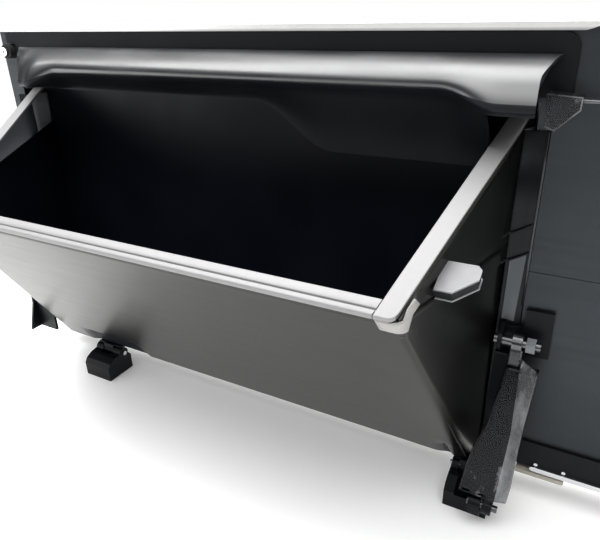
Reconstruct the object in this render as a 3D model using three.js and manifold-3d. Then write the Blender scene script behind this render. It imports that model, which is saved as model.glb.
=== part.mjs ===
// Trash compactor door with its inner hopper, hinge feet, strut and latch.
// Millimetres. +Z up, -Y towards the hopper side, +X to the right of someone facing the hopper.
// Modelled from the middle of the door's width, in the inner panel's face, at the feet's undersides,
// then moved so that the origin is the middle of the right foot's underside.
import * as THREE from 'three';
import { mergeVertices } from 'three/addons/utils/BufferGeometryUtils.js';
import Module from 'manifold-3d';

const wasm = await Module();
wasm.setup();

// ---- driving dimensions -------------------------------------------------------------------
const GAP = 0.3;                       // clearance left wherever two pieces touch
const SHEET = 2;                       // sheet thickness of the hopper
const DOOR = { half: 457, bottom: 39, top: 519, back: 48, skin: 1.5, lip: 7 };
const HOP = {                          // hopper: a wedge hung on the inner panel
  left: -417, right: 280,              // side walls where they meet the panel
  taper: 0.221,                        // how far each wall closes in per mm of depth
  rimY: -211, rimZ: 322, rimBackZ: 436.5,   // rim line, front end and at the panel
  footY: -32, footZ: 48,               // lower edge of the front wall
  flange: 24, rimThick: 4,
};
const LINER = { back: 36, top: 455, side: 389, bottomBack: 84, wall: 2, inset: SHEET + 0.5 };
const HOOD = { left: -413, right: 295, farRight: 306, top: 500, thick: 3 };
const HINGE = { y: -28, z: 34, pin: 3.5, knuckle: 7.5, barrel: 9, leaf: 10 };
const PIVOT = 0.1;                     // radial clearance of a pin in its bore
const FEET = {
  front: -64, back: -14,
  left: { from: -337, to: -285, mid: -311 },
  right: { from: 256, to: 306, mid: 276 },
};
const STRUT = { x: 307, lowY: -74, lowZ: 30, pin: 4, studY: -20, studZ: 214, stud: 5 };
const LATCH = { y: -12, z: 462, rod: 2, bolt: 4 };
const SEG = 24;

const rimSlope = (HOP.rimBackZ - HOP.rimZ) / -HOP.rimY;
const rimAngle = Math.atan(rimSlope);
const rimAt = (y) => HOP.rimBackZ + rimSlope * y;

// ---- materials ----------------------------------------------------------------------------
const mat = (color, roughness, metalness, opacity = 1) => new THREE.MeshStandardMaterial({
  color, roughness, metalness, opacity, transparent: opacity < 1,
});
const M = {
  skin: mat(0xc9c9c6, 0.28, 1),
  inner: mat(0x6d7173, 0.42, 0.9),
  satin: mat(0x8d8f8c, 0.36, 0.95),
  rim: mat(0xc6c8cc, 0.3, 0.95),
  liner: mat(0x10131c, 0.38, 0),
  hood: mat(0x3a3c3f, 0.55, 0),
  black: mat(0x111214, 0.5, 0),
  cast: mat(0x17181a, 0.6, 0.2),
  steel: mat(0xb4b6b8, 0.25, 1),
  clear: mat(0x9aa0a3, 0.2, 0, 0.5),
  rubber: mat(0x131313, 0.8, 0),
  beige: mat(0xa9a390, 0.5, 0),
};

// ---- shape helpers ------------------------------------------------------------------------
function solid(geometry) {
  const g = geometry.index ? geometry.clone() : geometry;
  g.deleteAttribute('normal');
  g.deleteAttribute('uv');
  const m = mergeVertices(g, 1e-4);
  return new wasm.Manifold(new wasm.Mesh({
    numProp: 3,
    vertProperties: new Float32Array(m.attributes.position.array),
    triVerts: new Uint32Array(m.index.array),
  }));
}

function geometryOf(manifold) {
  const out = manifold.getMesh();
  const g = new THREE.BufferGeometry();
  g.setAttribute('position', new THREE.BufferAttribute(new Float32Array(out.vertProperties), 3));
  g.setIndex(new THREE.BufferAttribute(new Uint32Array(out.triVerts), 1));
  g.computeVertexNormals();
  return g;
}

const group = new THREE.Group();

function add(name, shape, material) {
  const mesh = new THREE.Mesh(geometryOf(shape), material);
  mesh.name = name;
  group.add(mesh);
}

const AXES = {                         // outline's two directions and the extrusion's direction
  x: [[0, 1, 0], [0, 0, 1], [1, 0, 0]],
  y: [[0, 0, 1], [1, 0, 0], [0, 1, 0]],
  z: [[1, 0, 0], [0, 1, 0], [0, 0, 1]],
};

// Extrudes an outline along an axis. Outline points are (y, z), (z, x) or (x, y) for x, y, z.
function prism(axis, points, from, to) {
  const shape = new THREE.Shape(points.map(([a, b]) => new THREE.Vector2(a, b)));
  const g = new THREE.ExtrudeGeometry(shape, { depth: to - from, bevelEnabled: false });
  const [u, v, w] = AXES[axis].map((a) => new THREE.Vector3(...a));
  g.applyMatrix4(new THREE.Matrix4().makeBasis(u, v, w));
  g.translate(...w.clone().multiplyScalar(from).toArray());
  return solid(g);
}

// An upright plate given by its outline in (x, z).
const plate = (points, y0, y1) => prism('y', points.map(([x, z]) => [z, x]), y0, y1);

function box(x0, x1, y0, y1, z0, z1) {
  const g = new THREE.BoxGeometry(x1 - x0, y1 - y0, z1 - z0);
  g.translate((x0 + x1) / 2, (y0 + y1) / 2, (z0 + z1) / 2);
  return solid(g);
}

// A cylinder along an axis; a and b are its centre in the other two directions, in order.
function rod(axis, radius, from, to, a, b, sides = SEG) {
  const g = new THREE.CylinderGeometry(radius, radius, to - from, sides);
  const mid = (from + to) / 2;
  if (axis === 'x') g.rotateZ(Math.PI / 2).translate(mid, a, b);
  if (axis === 'y') g.translate(a, mid, b);
  if (axis === 'z') g.rotateX(Math.PI / 2).translate(a, b, mid);
  return solid(g);
}

// Corner arc points from angle a0 to a1, in degrees.
function arc(cx, cy, r, a0, a1, steps = 5) {
  const points = [];
  for (let i = 0; i <= steps; i += 1) {
    const t = THREE.MathUtils.degToRad(a0 + (a1 - a0) * i / steps);
    points.push([cx + r * Math.cos(t), cy + r * Math.sin(t)]);
  }
  return points;
}

function roundRect(x0, x1, z0, z1, r, steps = 4) {
  return [
    ...arc(x1 - r, z0 + r, r, -90, 0, steps), ...arc(x1 - r, z1 - r, r, 0, 90, steps),
    ...arc(x0 + r, z1 - r, r, 90, 180, steps), ...arc(x0 + r, z0 + r, r, 180, 270, steps),
  ];
}

// Joins equal outlines of points (y, z), one for each x, into one closed body.
function loft(stations) {
  const count = stations[0].points.length;
  const positions = [];
  const index = [];
  stations.forEach(({ x, points }) => points.forEach(([y, z]) => positions.push(x, y, z)));
  for (let s = 0; s + 1 < stations.length; s += 1) {
    for (let i = 0; i < count; i += 1) {
      const a = s * count + i;
      const b = s * count + (i + 1) % count;
      index.push(a, b, b + count, a, b + count, a + count);
    }
  }
  const cap = (s, flip) => {
    const ring = stations[s].points.map(([y, z]) => new THREE.Vector2(y, z));
    THREE.ShapeUtils.triangulateShape(ring, []).forEach(([a, b, c]) => {
      const base = s * count;
      if (flip) index.push(base + a, base + c, base + b);
      else index.push(base + a, base + b, base + c);
    });
  };
  cap(0, true);
  cap(stations.length - 1, false);
  if (THREE.ShapeUtils.isClockWise(stations[0].points.map(([y, z]) => new THREE.Vector2(y, z)))) {
    for (let i = 0; i < (stations.length - 1) * count * 6; i += 3) {
      [index[i + 1], index[i + 2]] = [index[i + 2], index[i + 1]];
    }
  }
  const g = new THREE.BufferGeometry();
  g.setAttribute('position', new THREE.Float32BufferAttribute(positions, 3));
  g.setIndex(index);
  return solid(g);
}

// ---- hopper -------------------------------------------------------------------------------
// Everything between the two side walls, pulled in by an inset.
function betweenWalls(inset) {
  const front = -260;
  const behind = 60;
  const edge = (y) => -y * HOP.taper + inset;
  return prism('z', [
    [HOP.left + edge(behind), behind], [HOP.left + edge(front), front],
    [HOP.right - edge(front), front], [HOP.right - edge(behind), behind],
  ], 0, 620);
}

const wallLength = Math.hypot(HOP.footY - HOP.rimY, HOP.rimZ - HOP.footZ);
const wallIn = [(HOP.rimZ - HOP.footZ) / wallLength, (HOP.footY - HOP.rimY) / wallLength];

// Side profile of the wedge, pulled in from the front wall and floor.
function wedge(inset, backY, floorBackZ, drop) {
  const rim = (y) => [y, rimAt(y) - drop];
  const footY = HOP.footY + wallIn[0] * inset * 0.6;
  const foot = [footY, HOP.footZ + inset];
  const lean = (HOP.footY - HOP.rimY) / (HOP.rimZ - HOP.footZ);
  const topY = HOP.rimY + inset / wallIn[0] + drop * lean;
  return [foot, [backY, floorBackZ + inset], rim(backY), rim(topY)];
}

const rimDrop = HOP.rimThick + GAP;
const outer = prism('x', wedge(0, -GAP, 41, rimDrop), -500, 500).intersect(betweenWalls(0));
const hollow = prism('x', [
  ...wedge(SHEET, 20, 39, rimDrop).slice(0, 2), [20, 600], [-400, 600],
  wedge(SHEET, 20, 39, rimDrop)[3],
], -500, 500).intersect(betweenWalls(SHEET));
const flangeTop = rimAt(0) - rimDrop;
const flange = (x0, x1) => box(x0, x1, -SHEET - GAP, -GAP, HOP.footZ, flangeTop - 1.6);

// Frame of the liner catch: u along the rim, v out of the right wall, w square to the rim.
const CATCH = { y: -146, z: 337, long: 32, out: 34, plate: 2, core: 10 };
function catchFrame(g) {
  const turn = new THREE.Matrix4().makeBasis(
    new THREE.Vector3(0, Math.cos(rimAngle), Math.sin(rimAngle)),
    new THREE.Vector3(-1, 0, 0),
    new THREE.Vector3(0, -Math.sin(rimAngle), Math.cos(rimAngle)),
  );
  g.applyMatrix4(turn);
  g.translate(HOP.right + HOP.taper * CATCH.y, CATCH.y, CATCH.z);
  return solid(g);
}
function catchPlate(points, w0, w1) {      // points are (u, outwards)
  const shape = new THREE.Shape(points.map(([u, v]) => new THREE.Vector2(u, -v)).reverse());
  const g = new THREE.ExtrudeGeometry(shape, { depth: w1 - w0, bevelEnabled: false });
  g.translate(0, 0, w0);
  return catchFrame(g);
}
const catchTotal = CATCH.core + 2 * CATCH.plate;
const slot = catchPlate([[-17, -12], [29, -12], [29, 12], [-17, 12]], -catchTotal - 1.5, -0.5);

// The side walls run on behind the panel to the liner's back wall.
const wallBack = prism('x', [[-3, 370], [LINER.back + 2, 370], [LINER.back + 2, flangeTop],
  [-3, rimAt(-3) - rimDrop]], -500, 500).intersect(betweenWalls(0)).subtract(betweenWalls(SHEET));
add('hopper_shell', outer.subtract(hollow)
  .add(wallBack)
  .add(flange(HOP.left - HOP.flange, HOP.left + 1))
  .add(flange(HOP.right - 1, HOP.right + HOP.flange))
  .subtract(slot), M.satin);

function linerWedge(inset) {
  const w = wedge(inset, 0, 41, rimDrop);
  return [w[0], [LINER.back - (inset - LINER.inset), LINER.bottomBack + (inset - LINER.inset)]];
}
const linerFront = wedge(LINER.inset, 0, 41, rimDrop)[3];
const linerOuter = prism('x', [
  ...linerWedge(LINER.inset), [LINER.back, LINER.top], [LINER.back - LINER.wall, LINER.top],
  [LINER.back - LINER.wall, LINER.side], linerFront,
], -500, 500).intersect(betweenWalls(LINER.inset + 0.1));
const linerHole = prism('x', [
  ...linerWedge(LINER.inset + LINER.wall), [LINER.back - LINER.wall, 620], [-400, 620],
  wedge(LINER.inset + LINER.wall, 0, 41, rimDrop)[3],
], -500, 500).intersect(betweenWalls(LINER.inset + 0.1 + LINER.wall));
add('hopper_liner', linerOuter.subtract(linerHole).subtract(slot), M.liner);

// Rim strips lie on the hopper's top edge; the side ones run up to the panel.
const RIM = { side: 18, front: 15 };
function rimBand(y0, y1, drop = 0) {
  return prism('x', [
    [y0, rimAt(y0) - HOP.rimThick], [y1, rimAt(y1) - HOP.rimThick],
    [y1, rimAt(y1) - drop], [y0, rimAt(y0) - drop],
  ], -500, 500);
}
const rimBack = 14;                    // the side strips run through the panel's cut-out
const frontInner = HOP.rimY + RIM.front;
const keep = betweenWalls(0);
const inside = betweenWalls(RIM.side);
const sideBand = rimBand(HOP.rimY, rimBack).intersect(keep).subtract(inside);
add('rim_left', sideBand.intersect(box(-500, -100, -300, 50, 0, 600)), M.rim);
add('rim_right', sideBand.intersect(box(0, 500, -300, 50, 0, 600)), M.rim);
add('rim_front', rimBand(HOP.rimY, frontInner).intersect(betweenWalls(RIM.side + GAP)), M.rim);

// Upright trim strip on the right flange, below the side wall's crease.
add('jamb_strip', plate([[285, 231], [298, 230], [300.5, 309.5], [285, 299]],
  -3.9, -SHEET - 2 * GAP), M.steel);

// ---- door ---------------------------------------------------------------------------------
const top = DOOR.top + DOOR.lip;
const skinOuter = box(-DOOR.half, DOOR.half, 2 + GAP, DOOR.back, DOOR.bottom, top);
const skinInner = box(-DOOR.half + DOOR.skin, DOOR.half - DOOR.skin, -10, DOOR.back - DOOR.skin,
  DOOR.bottom + DOOR.skin, top - DOOR.skin);
const lipNotch = [[320, DOOR.top], [332, DOOR.top + 4], [DOOR.half, DOOR.top + 4]];
const lipFold = plate([
  [-DOOR.half, DOOR.top], ...lipNotch, [DOOR.half, top], [-DOOR.half, top],
], -3, -3 + DOOR.skin);
const lipTop = box(-DOOR.half, DOOR.half, -3, 3, top - DOOR.skin, top);
add('outer_skin', skinOuter.subtract(skinInner).add(lipTop).add(lipFold), M.skin);

const cutout = box(HOP.left - 12, HOP.right + 12, -5, 10, 62, 457);
const SEAM = 289;                      // height of the joint between the two inner sheets
const sheet = (z0, z1) => box(-DOOR.half + 2, DOOR.half - 2, 0, SHEET, z0, z1)
  .subtract(cutout);
add('inner_panel_upper', sheet(SEAM + GAP, DOOR.top + 4), M.inner);
add('inner_panel_lower', sheet(DOOR.bottom + 2, SEAM - GAP), M.inner);

const plateTop = DOOR.top - 1;
const PLATE_RIGHT = 318;
add('hood_backplate', plate([
  ...arc(PLATE_RIGHT - 14, plateTop - 14, 14, 0, 90), [-440, plateTop], [-440, 504], [-424, 504],
  [-424, 486], [-405, 486], [-405, 462], [PLATE_RIGHT, 462],
], -3 - GAP, -GAP), M.black);

// Sill along the foot of the right-hand part of the door.
add('sill_strip', box(306, DOOR.half - 2, -4, -GAP, 44, 78), M.black);
add('sill_lip', plate([
  ...arc(343, 44, 3, 90, 270, 6), [DOOR.half - 2, 41], [DOOR.half - 2, 47],
], -8, -4 - GAP), M.skin);
[346, 376].forEach((x, i) => add(`sill_screw_${i + 1}`,
  rod('y', 2.2, -6, -4 - GAP, x, 50, 12), M.steel));
add('drip_rail', plate([
  [325, 33.5], ...arc(375.4, 36.1, 2.6, -90, 90, 4), [325, 38.7],
], -8, 6), M.beige);

[-437, 437].forEach((x, i) => {
  const side = i === 0 ? 'left' : 'right';
  add(`bumper_cup_${side}`, rod('y', 10, -10, -GAP, x, 493).subtract(
    rod('y', 6.5, -12, -5, x, 493)), M.rubber);
  add(`bumper_stud_${side}`, rod('y', 6, -14, -5 - GAP, x, 493).subtract(
    rod('y', 2.6, -16, -10, x, 493, 6)), M.steel);
});

// Black angle at the lower left corner, on the hopper's side wall.
add('side_stop_left', prism('x', [[-68, 56], [-46, 56], [-46, 150], [-52, 150], [-55, 100]],
  -453, -449).add(box(-450, -411, -50, -46, 56, 150)), M.cast);

// ---- hood ---------------------------------------------------------------------------------
const ease = (a, b, x) => {
  const t = Math.min(1, Math.max(0, (x - a) / (b - a)));
  return t * t * (3 - 2 * t);
};
const mix = (a, b, t) => a + (b - a) * t;
const SKIRT = { left: -392, right: 254, shallow: 446, deep: 395.5 };
// Sections of the hood from its top edge down to where it turns under, as (y, z): the deep ears at
// its two ends, and the shorter roll between them.
const EAR = [[-4, 500], [-18, 496], [-35, 489.6], [-50, 481], [-56, 475.5], [-60, 470],
  [-63.5, 464], [-65, 460], [-64.5, 457.5], [-61, 456]];
const ROLL = [[-4, 500], [-18, 496], [-34, 489.8], [-45, 482.6], [-47.5, 478.6], [-48, 475],
  [-46.6, 471.6], [-43, 468.6], [-38, 466], [-32, 464]];
const EAR_EDGES = { rightFrom: 207, rightTo: 266, leftFrom: -352, leftTo: -296 };
const SKIRT_STEPS = 7;

function hoodSection(x) {
  const earLeft = 1 - ease(EAR_EDGES.leftFrom, EAR_EDGES.leftTo, x);
  const ear = Math.max(ease(EAR_EDGES.rightFrom, EAR_EDGES.rightTo, x), earLeft);
  const endDepth = mix(mix(15, 43, ease(-413, -377, x)), 66, ease(-380, -330, x)) / 66;
  const squeeze = x < -330 ? mix(1, endDepth, earLeft) : 1;
  const outside = EAR.map(([ye, ze], i) => {
    const z = mix(ROLL[i][1], ze, ear);
    return [-4 + (mix(ROLL[i][0], ye, ear) + 4) * squeeze, z - earLeft * Math.max(0, 490 - z) * 0.14];
  });
  const [yLast, zLast] = outside[outside.length - 1];
  const skirted = x >= SKIRT.left && x <= SKIRT.right;
  const lip = skirted ? mix(SKIRT.shallow, SKIRT.deep, ease(-12, 84, x)) : zLast - 3;
  const yLip = skirted ? Math.max(-11, yLast) : yLast + 2;
  for (let i = 1; i <= SKIRT_STEPS; i += 1) {
    const t = i / SKIRT_STEPS;
    outside.push([mix(yLast, yLip, 1 - (1 - t) ** 2.1),
      mix(zLast, Math.min(lip, zLast - 3), t ** 0.9)]);
  }
  const inner = outside.map(([y, z], i) => {
    const a = outside[Math.max(0, i - 1)];
    const b = outside[Math.min(outside.length - 1, i + 1)];
    const length = Math.hypot(b[0] - a[0], b[1] - a[1]);
    return [Math.min(-3.6, y - (b[1] - a[1]) / length * HOOD.thick),
      z + (b[0] - a[0]) / length * HOOD.thick];
  });
  return [...outside, ...inner.reverse()];
}
const stops = [HOOD.left, -400, SKIRT.left - 0.5, SKIRT.left];
for (let x = -372; x < -12; x += 24) stops.push(x);
for (let x = -12; x <= 84; x += 8) stops.push(x);
for (let x = 108; x < 207; x += 24) stops.push(x);
for (let x = 207; x < SKIRT.right; x += 7) stops.push(x);
stops.push(SKIRT.right, SKIRT.right + 0.5, 265, HOOD.farRight);
// The right end is cut back from the panel to the ear's front.
const endCut = prism('z', [[340, 0], [HOOD.farRight, 0], [HOOD.farRight, -4], [300, -20],
  [HOOD.right - 1, -45], [HOOD.right + 1, -66], [HOOD.right + 1, -90], [340, -90]], 380, 540);
add('hood_shell', loft(stops.map((x) => ({ x, points: hoodSection(x) }))).subtract(endCut),
  M.hood);
add('hood_end_rib', prism('x', [[-4, 463], [-4, 494], [-30, 486], [-46, 477], [-54, 463]],
  HOOD.right - 12, HOOD.right - 8), M.black);

// ---- latch --------------------------------------------------------------------------------
const guide = [[298, 469], [328, 467], [328, 456], [309, 437], [300, 440]];
const guideIn = [[300, 467], [326, 465], [326, 457], [308.5, 440], [302, 442]];
add('rod_guide', plate(guide, -24, -4).subtract(plate(guideIn, -22, 0))
  .subtract(rod('x', LATCH.rod + 0.6, 320, 340, LATCH.y, LATCH.z)), M.clear);
add('latch_rod', rod('x', LATCH.rod, 321, 420 - GAP, LATCH.y, LATCH.z, 16), M.steel);
add('latch_bolt', rod('x', LATCH.bolt, 420, 471, LATCH.y, LATCH.z), M.steel);
add('bolt_guide', box(428, 452, -22, -GAP, 454, 474)
  .subtract(rod('x', LATCH.bolt + 0.4, 420, 460, LATCH.y, LATCH.z)), M.cast);

// ---- liner catch --------------------------------------------------------------------------
const half = CATCH.long / 2;
const tab = [[-half, 1], [half, 1], [half, CATCH.out - 4], [half - 4, CATCH.out],
  [half - 14, CATCH.out], [-half, CATCH.out - 18]];
add('catch_top_plate', catchPlate(tab, -CATCH.plate - 1, -1), M.rim);
add('catch_core', catchPlate([[-half + 1, -9], [half - 1, -9], [half - 1, CATCH.out - 5],
  [half - 4.5, CATCH.out - 1], [half - 14, CATCH.out - 1], [-half + 1, CATCH.out - 18.6]],
-CATCH.plate - CATCH.core - 1 + GAP, -CATCH.plate - 1 - GAP), M.black);
add('catch_bottom_plate', catchPlate(tab, -catchTotal - 1, -catchTotal - 1 + CATCH.plate),
  M.rim);

// ---- hinge feet ---------------------------------------------------------------------------
const block = [
  [FEET.front, 0], [FEET.back, 0], [FEET.back, 24], ...arc(HINGE.y, HINGE.z, HINGE.barrel, -20, 170, 8),
  [-48, 34], [-59, 29], [FEET.front, 22],
];
const slotHalf = HINGE.leaf + 1;
function foot({ from, to, mid }) {
  return prism('x', block, from, to)
    .subtract(box(mid - slotHalf, mid + slotHalf, HINGE.y - 14, 0, 24, 80))
    .subtract(rod('x', HINGE.pin + PIVOT, from - 5, to + 5, HINGE.y, HINGE.z));
}
add('foot_left', foot(FEET.left), M.cast);
const lug = { from: 287, to: 300 };     // the strut's lower pin stands in this lug
add('foot_right', foot(FEET.right)
  .subtract(box(296, 320, -90, 0, 19.5, 80))
  .subtract(box(268, 320, -90, -38.5, 19.5, 80))
  .add(prism('x', [...arc(STRUT.lowY, STRUT.lowZ, 9, 0, 180, 8), [STRUT.lowY - 9, 20],
    [-62, 4], [-52, 4], [-52, 19]], lug.from, lug.to))
  .subtract(rod('x', STRUT.pin + PIVOT, 270, 320, STRUT.lowY, STRUT.lowZ)), M.cast);

// Height of the hopper's underside, less a drop, as a point (y, z).
const underside = (y, drop) => [y, HOP.footZ - (y - HOP.footY) * 7 / 31.7 - drop];
function leaf(name, { from, to, mid }) {
  const knuckle = rod('x', HINGE.knuckle, mid - HINGE.leaf, mid + HINGE.leaf, HINGE.y, HINGE.z);
  const web = prism('x', [[HINGE.y - 7, HINGE.z], [HINGE.y + 7, HINGE.z], underside(-12, 2),
    underside(-33, 2)], mid - HINGE.leaf, mid + HINGE.leaf);
  const pad = prism('x', [underside(-31, 3.1), underside(-6, 3.1), underside(-6, 0.6),
    underside(-31, 0.6)], from + 4, to);
  add(name, knuckle.add(web).add(pad)
    .subtract(rod('x', HINGE.pin + PIVOT, mid - 25, mid + 25, HINGE.y, HINGE.z)), M.cast);
}
leaf('hinge_leaf_left', FEET.left);
leaf('hinge_leaf_right', { ...FEET.right, to: 272 });
const pin = (name, x0, x1) => add(name, rod('x', HINGE.pin, x0, x1, HINGE.y, HINGE.z), M.steel);
pin('hinge_pin_left', FEET.left.from - 3, FEET.left.to + 3);
pin('hinge_pin_right', FEET.right.from - 3, 296.5);

// ---- strut --------------------------------------------------------------------------------
add('strut_pin', rod('x', STRUT.pin, lug.from - 2, 318, STRUT.lowY, STRUT.lowZ), M.steel);
add('strut_plate', plate([[285, 193], [338, 193], [337, 248], [309, 247], [309, 226.5], [285, 224.5]],
  -5.6, -2 - 3 * GAP)
  .add(box(285, 300, -15, -5, 193, 195))
  .add(prism('x', [[-4, 200], [-4, 228], [-20, 226], ...arc(-20, 214, 11, 90, 270, 6)]
    .reverse(), 287, 291))
  .subtract(rod('x', STRUT.stud + GAP, 280, 300, STRUT.studY, STRUT.studZ)), M.black);
add('strut_stud', rod('x', STRUT.stud, 283, 330, STRUT.studY, STRUT.studZ), M.steel);
add('strut_nut', rod('x', 9, 316, 325, STRUT.studY, STRUT.studZ, 6)
  .subtract(rod('x', STRUT.stud + GAP, 310, 335, STRUT.studY, STRUT.studZ)), M.steel);

const reach = Math.hypot(STRUT.studY - STRUT.lowY, STRUT.studZ - STRUT.lowZ);
const lean = Math.atan2(STRUT.studY - STRUT.lowY, STRUT.studZ - STRUT.lowZ);
// Places a piece made upright over the lower pin along the strut's own line.
function alongStrut(manifold) {
  const g = geometryOf(manifold);
  g.rotateX(-lean);
  g.translate(STRUT.x, STRUT.lowY, STRUT.lowZ);
  return solid(g);
}
const eye = (at, radius) => rod('x', radius, -5, 5, 0, at);
const bore = (at, radius) => rod('x', radius, -12, 12, 0, at);
const TUBE = { from: 18, to: 118, radius: 8.5 };
add('strut_tube', alongStrut(eye(0, 9)
  .add(rod('z', 6, 6, TUBE.from + 1, 0, 0))
  .add(rod('z', TUBE.radius, TUBE.from, TUBE.to, 0, 0))
  .subtract(rod('z', 4.4, TUBE.from + 6, TUBE.to + 5, 0, 0))
  .subtract(bore(0, STRUT.pin + PIVOT))), M.cast);
add('strut_rod', alongStrut(rod('z', 4, 60, reach - 20, 0, 0)
  .add(prism('z', roundRect(-6.5, 6.5, -5, 5, 2), reach - 24.5, reach - 6))
  .add(eye(reach, 10.5))
  .subtract(bore(reach, STRUT.stud + 1.2))), M.steel);

// Clear sleeve: a flat tube that widens towards its foot, given as (along, left, right) edges.
const SLEEVE = [[14, -32, 19], [26, -30.7, 20], [66, -26, 20.6], [99, -15.5, 21.4],
  [159, -7.7, 25], [166, -7, 25.6]];
function sleeveBody(inset, overrun) {
  const g = geometryOf(loft(SLEEVE.map(([s, x0, x1], i) => ({
    x: s + (i === 0 ? -overrun : 0) + (i === SLEEVE.length - 1 ? overrun : 0),
    points: roundRect(x0 + inset, x1 - inset, -11 + inset, 11 - inset, 5 - inset, 3),
  }))));                                           // made along x, then stood up
  g.applyMatrix4(new THREE.Matrix4().makeBasis(new THREE.Vector3(0, 0, 1),
    new THREE.Vector3(1, 0, 0), new THREE.Vector3(0, 1, 0)));
  return solid(g);
}
add('strut_sleeve', alongStrut(sleeveBody(0, 0).subtract(sleeveBody(1.6, 4))), M.clear);

group.position.set(-281, 44, 0);

export default group;
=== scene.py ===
# Looks for the trash compactor door: materials, rounded sheet metal, trim, floor, light and camera.
# Lengths are written in millimetres in the part's own drawing frame: x to the right, y away from
# the viewer, z up, and y = 0 on the inner panel's face. P() turns them into the row frame.
import math

import bmesh
import bpy
from mathutils import Matrix, Vector


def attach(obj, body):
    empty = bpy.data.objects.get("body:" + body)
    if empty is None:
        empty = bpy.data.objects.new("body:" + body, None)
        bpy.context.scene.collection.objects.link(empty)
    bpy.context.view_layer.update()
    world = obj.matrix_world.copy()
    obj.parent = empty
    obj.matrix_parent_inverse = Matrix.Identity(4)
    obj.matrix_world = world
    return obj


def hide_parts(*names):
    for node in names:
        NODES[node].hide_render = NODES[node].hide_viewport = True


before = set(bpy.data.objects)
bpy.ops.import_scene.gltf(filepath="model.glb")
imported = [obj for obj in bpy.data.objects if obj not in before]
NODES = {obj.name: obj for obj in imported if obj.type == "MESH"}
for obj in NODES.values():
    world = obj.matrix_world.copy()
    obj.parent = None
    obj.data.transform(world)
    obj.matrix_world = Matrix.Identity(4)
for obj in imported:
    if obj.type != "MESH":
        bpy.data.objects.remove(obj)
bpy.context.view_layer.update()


# ---- places -------------------------------------------------------------------------------
def P(x, y, z):
    return Vector(((x - 281) / 1000, (y + 44) / 1000, z / 1000))


# ---- materials ----------------------------------------------------------------------------
def new_material(name, color, rough, metal=0.0):
    m = bpy.data.materials.new(name)
    m.use_nodes = True
    b = m.node_tree.nodes["Principled BSDF"]
    b.inputs["Base Color"].default_value = (*color, 1)
    b.inputs["Roughness"].default_value = rough
    b.inputs["Metallic"].default_value = metal
    return m, b


def node(m, kind, **values):
    n = m.node_tree.nodes.new(kind)
    for key, value in values.items():
        if key in n.inputs:
            n.inputs[key].default_value = value
        else:
            setattr(n, key, value)
    return n


def link(m, a, b):
    m.node_tree.links.new(a, b)


def noise(m, scale, stretch=(1, 1, 1), detail=4.0, roughness=0.55):
    coords = node(m, "ShaderNodeTexCoord")
    mapping = node(m, "ShaderNodeMapping")
    mapping.inputs["Scale"].default_value = stretch
    tex = node(m, "ShaderNodeTexNoise", Scale=scale, Detail=detail, Roughness=roughness)
    link(m, coords.outputs["Object"], mapping.inputs["Vector"])
    link(m, mapping.outputs["Vector"], tex.inputs["Vector"])
    return tex.outputs["Fac"]


def ramp(m, source, stops):
    r = node(m, "ShaderNodeValToRGB")
    link(m, source, r.inputs["Fac"])
    elements = r.color_ramp.elements
    while len(elements) < len(stops):
        elements.new(0.5)
    for e, (at, value) in zip(elements, stops):
        e.position = at
        e.color = (*value, 1) if isinstance(value, tuple) else (value, value, value, 1)
    return r.outputs["Color"]


def bump(m, b, source, strength, distance):
    n = node(m, "ShaderNodeBump")
    n.inputs["Strength"].default_value = strength
    n.inputs["Distance"].default_value = distance
    link(m, source, n.inputs["Height"])
    link(m, n.outputs["Normal"], b.inputs["Normal"])


# Above LIP_START the door sheet changes from its painted-shade tone to the lip's painted highlight.
LIP_START, LIP_BLUR = 0.988, 0.004      # where the door's top lip begins, as a share of its height


def shades(color, low, high):
    return tuple(c * low for c in color), tuple(c * high for c in color)


def sheet_metal(name, color, rough, spread, grain, metal=1.0, blotch=0.12, depth=0.06, lip=None):
    """Brushed sheet: fine grain stretched along one direction, with faint cloudy patches.

    lip gives two plain colours instead, both of the same steel: a dark one for the sheet, which is
    painted shade, and a near-white one for its folded top edge, which is a painted highlight.
    """
    m, b = new_material(name, color, rough, metal)
    if lip:
        coords = node(m, "ShaderNodeTexCoord")
        split = node(m, "ShaderNodeSeparateXYZ")
        link(m, coords.outputs["Generated"], split.inputs[0])
        # Painted shade below LIP_START, painted highlight above it.
        stops = [(LIP_START - LIP_BLUR, lip[0]), (LIP_START + LIP_BLUR, lip[1])]
        link(m, ramp(m, split.outputs["Z"], stops), b.inputs["Base Color"])
    else:
        cloud = noise(m, 5.0, (1, 1, 1), 3.0, 0.6)
        low, high = shades(color, 1 - blotch, 1 + blotch * 0.6)
        link(m, ramp(m, cloud, [(0.3, low), (0.7, high)]), b.inputs["Base Color"])
    fine = noise(m, 260.0, grain, 3.0)
    link(m, ramp(m, fine, [(0.25, rough - spread), (0.75, rough + spread)]), b.inputs["Roughness"])
    bump(m, b, fine, depth, 0.0003)
    return m


def moulded(name, color, rough, texture, strength, spec=0.5):
    """Moulded plastic or powder coat: a fine pebble with slight wear in the shine."""
    m, b = new_material(name, color, rough)
    pebble = noise(m, texture, (1, 1, 1), 2.0)
    wear = noise(m, 9.0, (1, 1, 1), 4.0)
    low, high = shades(color, 0.8, 1.25)
    link(m, ramp(m, wear, [(0.3, low), (0.75, high)]), b.inputs["Base Color"])
    link(m, ramp(m, wear, [(0.3, rough - 0.06), (0.7, rough + 0.08)]), b.inputs["Roughness"])
    bump(m, b, pebble, strength, 0.0004)
    b.inputs["Specular IOR Level"].default_value = spec
    return m


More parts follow.
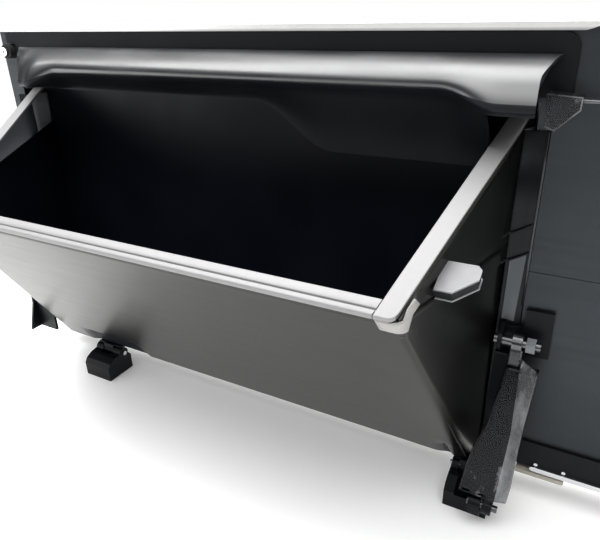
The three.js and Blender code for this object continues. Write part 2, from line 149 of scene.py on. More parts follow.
def clear_plastic(name, tint, lines, haze, spec=0.5):
    """Scuffed clear plastic: see-through in the dark patches, cloudy along the scratches."""
    m, b = new_material(name, tint, 0.28)
    scuff = noise(m, 26.0, (1, 1, 0.35), 6.0, 0.7)
    low, high = shades(tint, 0.35, 1.5)
    link(m, ramp(m, scuff, [(0.4, low), (0.58, high), (0.68, lines)]), b.inputs["Base Color"])
    b.inputs["Specular IOR Level"].default_value = spec
    link(m, ramp(m, scuff, [(0.35, 0.2), (0.65, 0.5)]), b.inputs["Roughness"])
    link(m, ramp(m, scuff, [(0.3, haze - 0.1), (0.62, haze), (0.72, 0.95)]), b.inputs["Alpha"])
    bump(m, b, scuff, 0.15, 0.0006)
    return m


MAT = {
    # The door's stainless: its face painted dark as shade, its top lip painted near white as a
    # highlight.
    "stainless": sheet_metal("stainless_painted_shade_and_lip_highlight", (0.22, 0.22, 0.217), 0.34, 0.04, (1, 1, 0.02),
                             depth=0.02, lip=((0.2, 0.2, 0.197), (0.9, 0.9, 0.89))),
    "inner": sheet_metal("inner_sheet", (0.032, 0.036, 0.04), 0.46, 0.05, (0.03, 1, 1), 0.8),
    "satin": sheet_metal("hopper_sheet", (0.041, 0.0425, 0.039), 0.3, 0.025, (0.05, 1, 1), 0.95,
                         depth=0.015),
    # The hopper sheet's inner face, painted pale grey-blue: painted light on the sheet that is dark
    # outside.
    "satin_painted_lit": sheet_metal("hopper_inner_face_painted_light", (0.6, 0.63, 0.68), 0.5, 0.04, (1, 1, 0.1),
                                0.25, depth=0.02),
    # The hopper steel again, painted near black: painted shade on the flanges and on the beads'
    # flange ends.
    "satin_painted_shade": sheet_metal("flange_sheet_painted_shade", (0.008, 0.0095, 0.0105), 0.42, 0.05, (1, 1, 0.05),
                              0.8),
    "bright": sheet_metal("plated_steel", (0.7, 0.71, 0.72), 0.22, 0.06, (1, 1, 1), 1.0),
    "plated": sheet_metal("dull_plated_steel", (0.11, 0.115, 0.12), 0.3, 0.08, (1, 1, 1), 1.0),
    "rim": sheet_metal("rim_aluminium", (0.27, 0.267, 0.27), 0.5, 0.04, (1, 0.04, 1), 0.15,
                       blotch=0.05),
    "catch": sheet_metal("catch_aluminium", (0.22, 0.22, 0.225), 0.55, 0.04, (1, 1, 1), 0.6,
                         blotch=0.05),
    "jamb": sheet_metal("jamb_steel", (0.06, 0.065, 0.068), 0.36, 0.05, (1, 1, 0.05), 0.9),
    "liner": moulded("liner_plastic", (0.004, 0.005, 0.01), 0.5, 700.0, 0.08, spec=0.2),
    "hood": moulded("hood_plastic", (0.013, 0.0135, 0.0155), 0.33, 900.0, 0.2, spec=1.0),
    # The hood's plastic made darker and duller for its skirt and the roll's underside: painted
    # shade.
    "skirt": moulded("hood_skirt_painted_shade", (0.0075, 0.0085, 0.0105), 0.5, 900.0, 0.12, spec=0.15),
    # The rim aluminium painted dark for the strips' outward sides: painted shade.
    "rim_side_painted_shade": sheet_metal("rim_outer_edge_painted_shade", (0.05, 0.048, 0.046), 0.5, 0.04, (1, 0.04, 1), 0.2,
                            blotch=0.05),
    "black": moulded("black_plastic", (0.003, 0.0035, 0.005), 0.5, 800.0, 0.1, spec=0.15),
    "cast": moulded("black_coat", (0.003, 0.0035, 0.005), 0.42, 600.0, 0.15, spec=0.15),
    "rubber": moulded("rubber", (0.012, 0.012, 0.012), 0.7, 500.0, 0.2, spec=0.3),
    "beige": moulded("beige_strip", (0.42, 0.39, 0.33), 0.5, 500.0, 0.1),
    # The corner blocks' pale tone is a painted highlight on the hopper's rounded corner.
    "corner": moulded("corner_painted_highlight", (0.38, 0.375, 0.36), 0.42, 500.0, 0.08),
    "clear": clear_plastic("scuffed_clear", (0.008, 0.0085, 0.01), (0.22, 0.21, 0.23), 0.85,
                           spec=0.2),
    # A paler copy of the clear plastic: painted light on the sleeve's right side and on the guide's
    # edges.
    "clear_painted_lit": clear_plastic("scuffed_clear_painted_highlight", (0.1, 0.105, 0.108), (0.3, 0.3, 0.3), 0.9),
    "clear_guide": clear_plastic("guide_clear", (0.01, 0.011, 0.012), (0.06, 0.06, 0.06), 0.3),
}

LOOK = {
    "stainless": ["outer_skin"],
    "inner": ["inner_panel_upper", "inner_panel_lower"],
    "satin": ["hopper_shell"],
    "jamb": ["jamb_strip"],
    "bright": ["sill_lip", "sill_screw_1", "sill_screw_2", "bumper_stud_left",
               "bumper_stud_right", "hinge_pin_left", "hinge_pin_right"],
    "plated": ["latch_rod", "latch_bolt", "strut_pin", "strut_stud", "strut_nut", "strut_rod"],
    "rim": ["rim_left", "rim_right", "rim_front"],
    "catch": ["catch_top_plate", "catch_bottom_plate"],
    "liner": ["hopper_liner"],
    "hood": ["hood_shell"],
    "black": ["hood_backplate", "hood_end_rib", "catch_core", "sill_strip", "strut_plate"],
    "cast": ["side_stop_left", "bolt_guide", "foot_left", "foot_right", "hinge_leaf_left",
             "hinge_leaf_right", "strut_tube"],
    "rubber": ["bumper_cup_left", "bumper_cup_right"],
    "beige": ["drip_rail"],
    "clear": ["strut_sleeve"],
    "clear_guide": ["rod_guide"],
}


def dress(obj, material):
    obj.data.materials.clear()
    obj.data.materials.append(material)


def smooth(obj, angle=35.0):
    """Smooth shading, split where two faces meet at more than the angle."""
    for face in obj.data.polygons:
        face.use_smooth = True
    limit = math.cos(math.radians(angle))
    mesh = obj.data
    mesh.update()
    sides = {}
    for face in mesh.polygons:
        for key in face.edge_keys:
            sides.setdefault(key, []).append(face.normal)
    for edge in mesh.edges:
        normals = sides.get(edge.key, [])
        edge.use_edge_sharp = len(normals) == 2 and normals[0].dot(normals[1]) < limit


def soften(obj, width, segments=2, angle=35.0):
    mod = obj.modifiers.new("edge", "BEVEL")
    mod.width = width / 1000
    mod.segments = segments
    mod.limit_method = "ANGLE"
    mod.angle_limit = math.radians(angle)
    mod.harden_normals = True


for key, names in LOOK.items():
    for n in names:
        dress(NODES[n], MAT[key])

EDGES = {
    "rim_left": 0.9, "rim_right": 0.9, "rim_front": 0.9, "foot_left": 1.6, "foot_right": 1.6,
    "outer_skin": 0.5, "hood_backplate": 0.6, "strut_plate": 0.6, "side_stop_left": 0.8,
    "catch_top_plate": 0.7, "catch_bottom_plate": 0.7, "catch_core": 0.5, "bolt_guide": 1.0,
    "strut_rod": 0.5, "strut_nut": 0.6, "sill_strip": 0.8, "drip_rail": 0.5, "rod_guide": 0.6,
    "bumper_stud_left": 0.8, "bumper_stud_right": 0.8, "bumper_cup_left": 0.8,
    "bumper_cup_right": 0.8, "hinge_leaf_left": 0.6, "hinge_leaf_right": 0.6,
}
for n, obj in NODES.items():
    if n in EDGES:
        soften(obj, EDGES[n])


# ---- mesh building ------------------------------------------------------------------------
def mesh_object(name, verts, faces):
    mesh = bpy.data.meshes.new(name)
    mesh.from_pydata([tuple(v) for v in verts], [], faces)
    mesh.validate()
    mesh.update()
    obj = bpy.data.objects.new(name, mesh)
    bpy.context.scene.collection.objects.link(obj)
    return obj


def grid_faces(rows, columns, closed=False):
    """Quads over rows of columns points; closed joins each row's last point to its first."""
    faces = []
    for i in range(rows - 1):
        for j in range(columns if closed else columns - 1):
            k = (j + 1) % columns
            faces.append((i * columns + j, i * columns + k,
                          (i + 1) * columns + k, (i + 1) * columns + j))
    return faces


def sheet_object(name, rows):
    verts = [P(*point) for row in rows for point in row]
    return mesh_object(name, verts, grid_faces(len(rows), len(rows[0])))


def loft_object(name, rings):
    """Closed rings joined one after another, with a cap on each end."""
    n = len(rings[0])
    faces = grid_faces(len(rings), n, closed=True)
    faces.append(tuple(range(n))[::-1])
    last = (len(rings) - 1) * n
    faces.append(tuple(range(last, last + n)))
    return mesh_object(name, [P(*point) for ring in rings for point in ring], faces)


def face_out(obj):
    bm = bmesh.new()
    bm.from_mesh(obj.data)
    bmesh.ops.recalc_face_normals(bm, faces=bm.faces)
    bm.to_mesh(obj.data)
    bm.free()


def turn_away(obj, centre):
    """Turns each connected part of an open sheet so that it mostly looks away from the centre."""
    bm = bmesh.new()
    bm.from_mesh(obj.data)
    done = set()
    for start in bm.faces:
        if start in done:
            continue
        done.add(start)
        island = [start]
        for face in island:
            for other in (f for edge in face.edges for f in edge.link_faces):
                if other not in done:
                    done.add(other)
                    island.append(other)
        if sum(f.normal.dot(f.calc_center_median() - centre) * f.calc_area() for f in island) < 0:
            for face in island:
                face.normal_flip()
    bm.to_mesh(obj.data)
    bm.free()


def piece(obj, body, material, *replaced, slot=None, angle=35.0):
    face_out(obj)
    smooth(obj, angle)
    dress(obj, material)
    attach(obj, body)
    if replaced:
        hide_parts(*replaced)
    return obj


def mix(a, b, t):
    return a + (b - a) * t


def ease(a, b, x):
    t = min(1.0, max(0.0, (x - a) / (b - a)))
    return t * t * (3 - 2 * t)


def thicken(obj, thickness, inside=0):
    """Gives a sheet its thickness, inwards; inside is how many materials on its inner face lies."""
    mod = obj.modifiers.new("sheet", "SOLIDIFY")
    mod.thickness = thickness / 1000
    mod.offset = -1.0
    mod.material_offset = inside


# ---- hopper: one folded sheet with round corners --------------------------------------------
WALL_L, WALL_R, TAPER = -417.0, 280.0, 0.221
RIM_Y, RIM_Z, RIM_BACK_Z = -211.0, 322.0, 436.5
FOOT_Y, FOOT_Z = -32.0, 48.0
RIM_DROP = 4.3
RIM_SLOPE = (RIM_BACK_Z - RIM_Z) / -RIM_Y
LEAN = (FOOT_Y - RIM_Y) / (RIM_Z - FOOT_Z)
CREASE_Z = 297.0
TOP_FRONT = RIM_Z - RIM_DROP


LAP = 1.4                   # how far the upper part of a side wall stands out from the lower part
SHEET = 1.6                 # thickness of the hopper's sheet
SEAM_Y = -0.4               # where the side walls meet the inner panel


def wall_x(side, y, out=0.0):
    """Outer face of a side wall at y, moved outwards by out; side is -1 for the left wall."""
    return WALL_R + TAPER * y + out if side > 0 else WALL_L - TAPER * y - out


def bend(t):
    """Weights of the three points of a quadratic curve."""
    return (1 - t) ** 2, 2 * t * (1 - t), t * t


def rim_z(y):
    return RIM_BACK_Z + RIM_SLOPE * y


def front_y(z):
    return FOOT_Y - LEAN * (z - FOOT_Z)


def cheek_step(z):
    """The upper part of each side wall laps outside the lower part."""
    return LAP * ease(CREASE_Z - 1.2, CREASE_Z + 0.2, z)


def scoop(x, z):
    """A shallow recess in the front wall above a foot."""
    depth = 0.0
    for x0, x1 in ((-338.0, -226.0), (243.0, 268.0)):
        across = ease(x0 - 4, x0 + 6, x) * (1 - ease(x1 - 8, x1 + 4, x))
        depth = max(depth, 5.0 * across * (1 - ease(70, 86, z)))
    return depth


def hopper_rows():
    levels = [48, 50, 54, 60, 66, 70, 74, 78, 82, 86, 90]
    levels += list(range(100, 290, 12)) + [290, 295, 295.8, 296.4, 297.2, 298, 303, 310, TOP_FRONT]
    cheek_steps = 10
    round_steps = 7
    front_x = [mix(-1, 1, i / 90) for i in range(91)]
    rows = []
    for z in levels:
        y = front_y(z)
        radius = mix(15, 6, ease(60, TOP_FRONT, z))
        y_turn = y + radius
        step = cheek_step(z)

        def cheek(side):
            places = [mix(SEAM_Y, y_turn, i / cheek_steps) for i in range(cheek_steps)]
            return [(wall_x(side, yy, step), yy, z) for yy in places]

        def corner(x_a, x_c, x_b):
            points = []
            for i in range(round_steps + 1):
                a, b, c = bend(i / round_steps)
                points.append((a * x_a + b * x_c + c * x_b, a * y_turn + (b + c) * y, z))
            return points

        lx, rx = wall_x(-1, y, step), wall_x(1, y, step)
        row = cheek(-1) + corner(wall_x(-1, y_turn, step), lx, lx + radius)
        mid = (lx + rx) / 2
        half = (rx - lx) / 2 - radius
        row += [(mid + half * f, y + scoop(mid + half * f, z), z) for f in front_x[1:-1]]
        row += corner(wall_x(1, y_turn, step), rx, rx - radius)[::-1]
        row += cheek(1)[::-1]
        rows.append(row)
    return rows


def hopper_wings():
    """The two triangular parts of the side walls that rise above the front wall to the panel."""
    wings = []
    for side in (-1, 1):
        rows = []
        steps = 12
        for i in range(steps + 1):
            t = i / steps
            row = []
            for j in range(9):
                y = mix(RIM_Y + 6, SEAM_Y, j / 8)
                z = mix(TOP_FRONT, rim_z(y) - RIM_DROP, t)
                row.append((wall_x(side, y, LAP), y, z))
            rows.append(row)
        wings.append(rows)
    return wings


def join(objects, name):
    verts, faces = [], []
    for obj in objects:
        base = len(verts)
        verts += [tuple(v.co) for v in obj.data.vertices]
        faces += [tuple(base + i for i in f.vertices) for f in obj.data.polygons]
        bpy.data.objects.remove(obj)
    return mesh_object(name, verts, faces)


parts = [sheet_object("hopper_part", hopper_rows())]
parts += [sheet_object("hopper_part", rows) for rows in hopper_wings()]
skin = piece(join(parts, "hopper_skin"), "door", MAT["satin"], "hopper_shell", slot="satin_steel",
             angle=25)
turn_away(skin, P((WALL_L + WALL_R) / 2, -40, 300))
# The skin's inner face gets the pale tone, which is painted light.
skin.data.materials.append(MAT["satin_painted_lit"])
thicken(skin, SHEET, inside=1)

# Flanges that fold out of the side walls and lie on the inner panel.
for side, x0, x1 in (("left", WALL_L - 25, WALL_L - 1), ("right", WALL_R + 1, WALL_R + 25)):
    outer = x0 if side == "left" else x1
    inner = x1 if side == "left" else x0
    rows = []
    for z in (49, 120, 200, 289, 294, 300, 360, RIM_BACK_Z - RIM_DROP):
        rows.append([(mix(inner, outer, t), y, z) for t, y in
                     ((0, -3.4), (0.08, -2.2), (0.9, -2.1), (0.96, -1.8), (1.0, -0.4))])
    # The flanges wear the hopper steel painted near black, as painted shade.
    flange = piece(sheet_object(f"hopper_flange_{side}", rows), "door", MAT["satin_painted_shade"],
                   slot="satin_steel")
    turn_away(flange, P((x0 + x1) / 2, 60, 240))
    thicken(flange, 1.4)

# The right flange's outer edge is folded back on itself and stands a little proud.
HEM = [(302.6, -2.6), (302.9, -3.1), (304.0, -3.2), (304.5, -2.8), (304.6, -0.5)]
edge_rows = [[(x, y, z) for x, y in HEM] for z in (250, 300, 350, 400, RIM_BACK_Z - RIM_DROP)]
# The hem's fold is real; its lighter steel, set against the painted-shade flange, is a painted
# highlight on it.
hem = piece(sheet_object("hopper_flange_hem", edge_rows), "door", MAT["jamb"], slot="satin_steel")
turn_away(hem, P(303.6, 60, 340))
thicken(hem, 0.8)


# Two short pressed beads run from the right side wall out over its flange, and slope up there.
BEAD_ARC = [math.radians(-90 + 30 * i) for i in range(7)]
BEAD_HALF, BEAD_SINK, BEAD_SLOPE = 1.7, 0.4, 0.6
FLANGE_START, FLANGE_FACE = 283.5, -3.4
for name, z, y_start in (("upper", 329.0, -17.8), ("lower", 298.6, -13.3)):
    path = [(wall_x(1, y, LAP), y, 1.0, -0.2, swell) for y, swell in
            ((y_start, 0.2), (y_start + 2, 1.3), (y_start / 2 - 2, 1.5), (-4.4, 1.5))]
    on_wall = len(path) - 1
    path += [(x, FLANGE_FACE, 0.0, -1.0, swell) for x, swell in
             ((FLANGE_START, 1.5), (292.0, 1.3), (300.0, 1.1), (302.0, 0.3))]
    rings = []
    for x, y, nx, ny, swell in path:
        rise = max(0.0, x - FLANGE_START) * BEAD_SLOPE
        ring = []
        for a in BEAD_ARC:
            out = swell * math.cos(a) - BEAD_SINK
            ring.append((x + nx * out, y + ny * out, z + rise + BEAD_HALF * math.sin(a)))
        rings.append(ring)
    # The bead's part on the wall wears the slightly lighter jamb steel, partly a painted highlight;
    # its part on the flange is painted shade.
    bead = piece(loft_object(f"flange_bead_{name}", rings), "door", MAT["jamb"],
                 slot="satin_steel", angle=60)
    bead.data.materials.append(MAT["satin_painted_shade"])
    for face in bead.data.polygons:
        if len(face.vertices) == 4 and min(face.vertices) >= on_wall * len(BEAD_ARC):
            face.material_index = 1


# The side walls run on behind the panel, up to the liner's back wall.
for side in (-1, 1):
    rows = []
    for j in range(5):
        y = mix(-1.0, 37.5, j / 4)
        rows.append([(wall_x(side, y, LAP), y, z) for z in (371, 392, 412, 431.5)])
    # These walls wear the pale inner-face tone, which is painted light.
    back_wall = piece(sheet_object(f"hopper_side_back_{'left' if side < 0 else 'right'}", rows),
                      "door", MAT["satin_painted_lit"], slot="satin_steel")
    turn_away(back_wall, P((WALL_L + WALL_R) / 2, 18, 400))
    thicken(back_wall, SHEET)


# ---- rim: side strips, grooved front strip and corner blocks --------------------------------
def slab_from_plan(name, outline, height, top_of):
    """A flat strip with the given plan outline; its top follows top_of(y)."""
    n = len(outline)
    verts = [P(x, y, top_of(y)) for x, y in outline] + [P(x, y, top_of(y) - height)
                                                         for x, y in outline]
    faces = [tuple(range(n)), tuple(range(2 * n - 1, n - 1, -1))]
    faces += [(i, n + i, n + (i + 1) % n, (i + 1) % n) for i in range(n)]
    return mesh_object(name, verts, faces)


RIM_WIDE, RIM_BACK, RIM_THICK = 18.0, 14.0, 4.0
RIM_OUT, RIM_FRONT = 0.6, 0.4           # how far a strip stands out over the side and front walls
RIM_ROUND = 7.0                         # size of a strip's round front corner
for side, name in ((-1, "left"), (1, "right")):
    turn = RIM_Y + RIM_ROUND
    places = [mix(RIM_BACK, turn, i / 8) for i in range(9)]
    outline = [(wall_x(side, y, RIM_OUT), y) for y in places]
    for i in range(1, 7):
        a, b, c = bend(i / 6)
        x0, x1 = wall_x(side, turn, RIM_OUT), wall_x(side, RIM_Y, RIM_OUT)
        x2 = wall_x(side, RIM_Y, -RIM_ROUND)
        outline.append((a * x0 + b * x1 + c * x2, a * turn + (b + c) * (RIM_Y - RIM_FRONT)))
    outline.append((wall_x(side, RIM_Y, 0.3 - RIM_WIDE), RIM_Y - RIM_FRONT))
    places = [mix(RIM_Y, RIM_BACK, i / 8) for i in range(1, 9)]
    outline += [(wall_x(side, y, -RIM_WIDE), y) for y in places]
    strip = slab_from_plan(f"rim_strip_{name}", outline, RIM_THICK, rim_z)
    piece(strip, "door", MAT["rim"], f"rim_{name}", slot="aluminium")
    # Faces that look outwards get the dark copy, which is painted shade.
    strip.data.materials.append(MAT["rim_side_painted_shade"])
    for face in strip.data.polygons:
        if face.normal.x * side > 0.8:
            face.material_index = 1
    soften(strip, 0.9, 3)

FRONT_PROFILE = [(0.0, -4.0), (0.0, -0.7), (0.5, -0.1), (1.2, 0.0), (3.9, 0.0), (4.3, -0.3),
                 (4.4, -2.0), (6.0, -2.0), (6.1, -0.3), (6.5, 0.0), (13.8, 0.0), (14.5, -0.4),
                 (14.6, -4.0)]
rings = []
for i in range(33):
    ring = []
    for depth, height in FRONT_PROFILE:
        y = RIM_Y + depth
        x0 = wall_x(-1, y, -RIM_WIDE - 0.3)
        x1 = wall_x(1, y, -RIM_WIDE - 0.3)
        ring.append((mix(x0, x1, i / 32), y, rim_z(y) + height))
    rings.append(ring)
piece(loft_object("rim_strip_front", rings), "door", MAT["rim"], "rim_front", slot="aluminium")

BLOCK_ROUND = 6.5                       # a corner block wraps the hopper's top front corner
ON_CHEEK, ON_BEND = 3, 8                # steps along the side wall, then round the corner
for side, name in ((-1, "left"), (1, "right")):
    rows = []
    for z, out in ((TOP_FRONT + 0.1, 0.8), (TOP_FRONT - 3, 1.0), (TOP_FRONT - 9, 1.0),
                   (TOP_FRONT - 12, 0.9), (TOP_FRONT - 13.5, 0.2)):
        y = front_y(z)
        edge = wall_x(1, y, LAP)
        row = []
        for k in range(15):
            t = min(1.0, max(0.0, (k - ON_CHEEK) / ON_BEND))
            a, b, c = bend(t)
            if k < ON_CHEEK:
                back = BLOCK_ROUND + (ON_CHEEK - k) * 5.0
                x, yc = edge + TAPER * back, y + back
                lift = max(0.0, rim_z(yc) - rim_z(RIM_Y))
            else:
                along_front = max(0, k - ON_CHEEK - ON_BEND) * 4.0
                x = (a * (edge + TAPER * BLOCK_ROUND) + b * edge + c * (edge - BLOCK_ROUND)
                     - along_front)
                yc = a * (y + BLOCK_ROUND) + (b + c) * y
                lift = 0.0
            x += out * (1 - t)
            row.append((x if side > 0 else WALL_L + WALL_R - x, yc - out * t, z + lift))
        rows.append(row)
    # The blocks are thin wraps; their pale tone is a painted highlight on the rounded corner.
    block = piece(sheet_object(f"rim_corner_{name}", rows), "door", MAT["corner"],
                  slot="aluminium")
    thicken(block, 1.2)


# ---- hood -----------------------------------------------------------------------------------
HOOD_L, HOOD_R = -413.0, 295.0
SKIRT_L, SKIRT_R = -392.0, 254.0        # between these the hood has a skirt that hangs down
# From this point of the section on, the faces are painted shade: the roll's underside and the
# skirt.
PAINTED_SHADE_FROM = 9                          # the point of the section where the darker skirt begins
# The hood's section, y and z from its top edge outwards: at its wide ends, and between them.
EAR = [(-4, 500), (-12, 498.6), (-18, 496), (-26, 493.2), (-35, 489.6), (-43, 485.6), (-50, 481),
       (-56, 475.5), (-60, 470), (-63.5, 464), (-65, 460), (-64.5, 457.5), (-61, 456)]
ROLL = [(-4, 500), (-12, 498.6), (-18, 496), (-26, 493.2), (-34, 489.8), (-40, 486.6),
        (-45, 482.6), (-47.5, 478.6), (-48, 475), (-46.6, 471.6), (-43, 468.6), (-38, 466),
        (-32, 464)]
SKIRT_HIGH, SKIRT_LOW = 446, 395.5      # the skirt's lower edge, left and right of its S-bend
SKIRT_STEPS = 12


def hood_outline(x):
    """Outer line of the hood's section at x, from its top edge at the panel to its lower lip."""
    ear_right = ease(207, 266, x)
    ear_left = 1 - ease(-352, -296, x)
    ear = max(ear_right, ear_left)
    depth_left = mix(mix(15, 43, ease(-413, -377, x)), 66, ease(-380, -330, x))
    scale = depth_left / 66 if x < -330 else 1.0        # the hood gets shallower at its left end
    lift = 4.0 * ear_left * (1 - ease(-413, -350, x))
    points = []
    for (ye, ze), (yr, zr) in zip(EAR, ROLL):
        y, z = mix(yr, ye, ear), mix(zr, ze, ear)
        drop = ear_left * max(0.0, (490 - z)) * 0.14
        points.append((-4 + (y + 4) * mix(1.0, scale, ear_left), z - lift * 0.2 - drop))
    y_last, z_last = points[-1]
    if SKIRT_L <= x <= SKIRT_R:
        lip = min(mix(SKIRT_HIGH, SKIRT_LOW, ease(-12, 84, x)), z_last - 3)
        y_lip = max(-11.0, y_last)
    else:
        lip, y_lip = z_last - 3, y_last + 2
    for i in range(1, SKIRT_STEPS + 1):
        t = i / SKIRT_STEPS
        sweep = 1 - (1 - t) ** 2.1
        points.append((mix(y_last, y_lip, sweep), mix(z_last, lip, t ** 0.9)))
    return points


def end_slant(x, y):
    """The hood's right end is cut back from the panel to the ear's front."""
    if y > -20:
        reach = mix(11, 5, ease(-4, -20, y) if y < -4 else 0)
    elif y > -45:
        reach = mix(5, -1, (y + 20) / -25)
    else:
        reach = mix(-1, 1, min(1, (y + 45) / -21))
    return reach * ease(HOOD_R - 22, HOOD_R, x)


def shell_ring(x, thickness=3.0):
    outer = hood_outline(x)
    inner = []
    for i, (y, z) in enumerate(outer):
        a, b = outer[max(0, i - 1)], outer[min(len(outer) - 1, i + 1)]
        length = math.hypot(b[0] - a[0], b[1] - a[1]) or 1.0
        inner.append((min(-3.6, y - (b[1] - a[1]) / length * thickness),
                      z + (b[0] - a[0]) / length * thickness))
    return [(x + end_slant(x, y), y, z) for y, z in outer + inner[::-1]]


# Places of the sections, closer together where the shape changes.
stations = [HOOD_L + 4 * i for i in range(6)] + [SKIRT_L - 0.6, SKIRT_L]
stations += [HOOD_L + 4 * i for i in range(6, 30)] + list(range(-290, -20, 18))
stations += list(range(-16, 90, 5)) + list(range(98, 200, 14))
stations += list(range(203, 254, 4)) + [SKIRT_R, SKIRT_R + 0.6]
stations += list(range(258, 291, 4)) + [292, 294, HOOD_R]
hood = loft_object("hood_cover", [shell_ring(float(x)) for x in stations])
piece(hood, "door", MAT["hood"], "hood_shell", slot="textured_plastic", angle=48)
# The faces from the roll's underside down get the darker plastic, which is painted shade.
hood.data.materials.append(MAT["skirt"])
HOOD_RING = 2 * len(hood_outline(0.0))
for face in hood.data.polygons:
    if len(face.vertices) == 4 and min(i % HOOD_RING for i in face.vertices) >= PAINTED_SHADE_FROM:
        face.material_index = 1
soften(hood, 0.7, 2, 60)

# A dark cap closes the hood's open right end a little way in.
cap = [(HOOD_R - 9, y + 2.2, z - 2.0) for y, z in hood_outline(HOOD_R)[:13]]
cap += [(HOOD_R - 9, -30, 452), (HOOD_R - 9, -3.6, 452)]
end_cap = mesh_object("hood_end_cap", [P(*c) for c in cap], [tuple(range(len(cap)))])
piece(end_cap, "door", MAT["black"], "hood_end_rib", slot="black_plastic")
thicken(end_cap, 3.0)


# ---- latch guide: moulded edges round the clear pocket, painted pale as a highlight -----------
GUIDE = [(298, 469), (328, 467), (328, 456), (309, 437), (300, 440)]
GUIDE_IN = [(299.2, 467.8), (326.9, 466), (326.9, 456.5), (308.6, 438.6), (301.2, 441)]
guide_verts = [P(x, -24.3, z) for x, z in GUIDE + GUIDE_IN]
guide_faces = [(i, (i + 1) % 5, 5 + (i + 1) % 5, 5 + i) for i in range(4)]
guide_edge = mesh_object("rod_guide_edge", guide_verts, guide_faces)
piece(guide_edge, "door", MAT["clear_painted_lit"], slot="clear_plastic")
thicken(guide_edge, 0.6)


# ---- strut sleeve ---------------------------------------------------------------------------
STRUT_X, LOW, STUD = 307.0, (-74.0, 30.0), (-20.0, 214.0)
STRUT_LEAN = math.atan2(STUD[0] - LOW[0], STUD[1] - LOW[1])


def along_strut(x, depth, s):
    """A point beside the strut's line: x across, depth square to it, s along it from the pin."""
    return (STRUT_X + x, LOW[0] + s * math.sin(STRUT_LEAN) + depth * math.cos(STRUT_LEAN),
            LOW[1] + s * math.cos(STRUT_LEAN) - depth * math.sin(STRUT_LEAN))


SLEEVE = [(14, -32, 19), (26, -30.7, 20), (66, -26, 20.6), (99, -15.5, 21.4), (159, -7.7, 25),
          (166, -7, 25.6)]
CREASE = [(14, 7.0), (96, 10.6), (166, 7.6)]


def between(table, s):
    """Values of a table's row at s, straight between its rows."""
    for low, high in zip(table, table[1:]):
        if s <= high[0]:
            t = (s - low[0]) / (high[0] - low[0])
            return [mix(a, b, t) for a, b in zip(low[1:], high[1:])]
    return list(table[-1][1:])


def sleeve_ring(s, gable=0.0):
    """One turn round the sleeve: a flat dark front, and a chamfered strip down its right, painted
    pale as painted light.
    """
    left, right = between(SLEEVE, s)
    crease = between(CREASE, s)[0]

    def top(x):
        return s + (gable * (right - x) / (right - crease) if x > crease else 0.0)

    front = [mix(left + 3, crease, i / 8) for i in range(9)]
    ring = [(left, -8.0), (left + 0.9, -10.1)] + [(x, -11.0) for x in front]
    ring += [(mix(crease + 0.3, right - 1, i / 4), mix(-11.0, -7.0, i / 4)) for i in range(5)]
    ring += [(right, -5.5), (right, 8.0), (right - 1, 10.1), (right - 3, 11.0)]
    ring += [(mix(right, left, i / 4), 11.0) for i in (1, 2, 3)]
    ring += [(left + 3, 11.0), (left + 1, 10.1), (left, 8.0)]
    return [along_strut(x, depth, top(x) if depth < 0 else s) for x, depth in ring]


levels = [14, 15.2, 18.2, 20, 24, 32, 44, 56, 66, 72, 82, 92, 99, 110, 122, 134, 146, 156, 162]
sleeve_rings = [sleeve_ring(float(s)) for s in levels] + [sleeve_ring(166.0, 12.0)]
RING = len(sleeve_rings[0])
sleeve_faces = grid_faces(len(sleeve_rings), RING, closed=True)
holes = {RING + 2, RING + 3, RING + 6, RING + 7}    # two slots through the front, near the foot
PAINTED_LIT_FROM, PAINTED_LIT_TO = 10, 16                         # points of a ring on the pale strip
sleeve_faces = [f for i, f in enumerate(sleeve_faces) if i not in holes]
sleeve = mesh_object("strut_cover", [P(*q) for ring in sleeve_rings for q in ring], sleeve_faces)
piece(sleeve, "strut_tube", MAT["clear"], "strut_sleeve", slot="clear_plastic", angle=30)
# The right strip gets the paler copy, which is painted light.
sleeve.data.materials.append(MAT["clear_painted_lit"])
for face in sleeve.data.polygons:
    places = [i % RING for i in face.vertices]
    if min(places) >= PAINTED_LIT_FROM and max(places) <= PAINTED_LIT_TO:
        face.material_index = 1
thicken(sleeve, 1.4)


# ---- stage, light, camera -----------------------------------------------------------------
FLOOR, FLOOR_Z = 25.0, -0.001           # half the floor's side, and its height, in metres
floor = mesh_object("floor", [(-FLOOR, -FLOOR, FLOOR_Z), (FLOOR, -FLOOR, FLOOR_Z),
                              (FLOOR, FLOOR, FLOOR_Z), (-FLOOR, FLOOR, FLOOR_Z)], [(0, 1, 2, 3)])
pale, pale_shader = new_material("pale_floor", (0.96, 0.96, 0.96), 0.9)
pale_shader.inputs["Emission Color"].default_value = (1, 1, 1, 1)
pale_shader.inputs["Emission Strength"].default_value = 0.12
dress(floor, pale)

bpy.context.scene.view_settings.view_transform = "Standard"

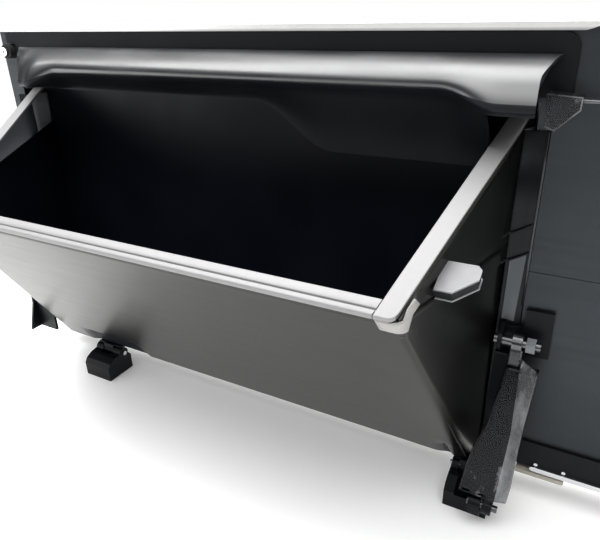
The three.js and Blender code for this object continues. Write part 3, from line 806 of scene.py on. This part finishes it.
# The camera sees plain white behind everything. The light the sky gives is another matter: strong
# from overhead and from behind the door, and weak from the sides and the front.
world = bpy.data.worlds.new("studio")
bpy.context.scene.world = world
world.use_nodes = True
backdrop = world.node_tree.nodes["Background"]
backdrop.inputs["Color"].default_value = (1, 1, 1, 1)
backdrop.inputs["Strength"].default_value = 1.0
sky = node(world, "ShaderNodeBackground")
direction = node(world, "ShaderNodeTexCoord")
split = node(world, "ShaderNodeSeparateXYZ")
link(world, direction.outputs["Generated"], split.inputs[0])
overhead = ramp(world, split.outputs["Z"], [(0.0, 0.03), (0.35, 0.06), (0.75, 0.9), (1.0, 1.0)])
behind = ramp(world, split.outputs["Y"], [(0.25, 0.0), (0.6, 0.75)])
both = node(world, "ShaderNodeMix", data_type="RGBA", blend_type="LIGHTEN")
both.inputs["Factor"].default_value = 1.0
link(world, overhead, both.inputs[6])
link(world, behind, both.inputs[7])
link(world, both.outputs[2], sky.inputs["Color"])
sky.inputs["Strength"].default_value = 1.3
path = node(world, "ShaderNodeLightPath")
blend = node(world, "ShaderNodeMixShader")
link(world, path.outputs["Is Camera Ray"], blend.inputs["Fac"])
link(world, sky.outputs[0], blend.inputs[1])
link(world, backdrop.outputs[0], blend.inputs[2])
link(world, blend.outputs[0], world.node_tree.nodes["World Output"].inputs["Surface"])


def area(name, at, towards, size, power):
    data = bpy.data.lights.new(name, "AREA")
    data.shape = "RECTANGLE"
    data.size, data.size_y = size
    data.energy = power
    obj = bpy.data.objects.new(name, data)
    obj.location = at
    obj.rotation_euler = (Vector(towards) - Vector(at)).to_track_quat("-Z", "Y").to_euler()
    obj.visible_camera = False
    bpy.context.scene.collection.objects.link(obj)


area("key", (-1.6, -0.8, 0.35), (-0.7, -0.2, 0.2), (0.6, 0.5), 3)
area("top", (-0.3, -0.8, 2.3), (-0.3, -0.3, 0.0), (2.8, 1.4), 42)
area("overhead", (-0.8, 0.5, 2.1), (-0.4, 0.0, 0.4), (3.2, 1.2), 80)

EYE = (0.076, -0.535, 0.5432)
cam = bpy.data.cameras.new("camera")
cam.lens = 34.19
cam.sensor_width = 36.0
cam.clip_start = 0.01
eye = bpy.data.objects.new("camera", cam)
right = Vector((0.8783, 0.4776, -0.0230)).normalized()
up = Vector((-0.1826, 0.3794, 0.9070))
up = (up - right * up.dot(right)).normalized()
back = right.cross(up)
rotation = Matrix((right, up, back)).transposed()
eye.matrix_world = Matrix.Translation(EYE) @ rotation.to_4x4()
bpy.context.scene.collection.objects.link(eye)
bpy.context.scene.camera = eye
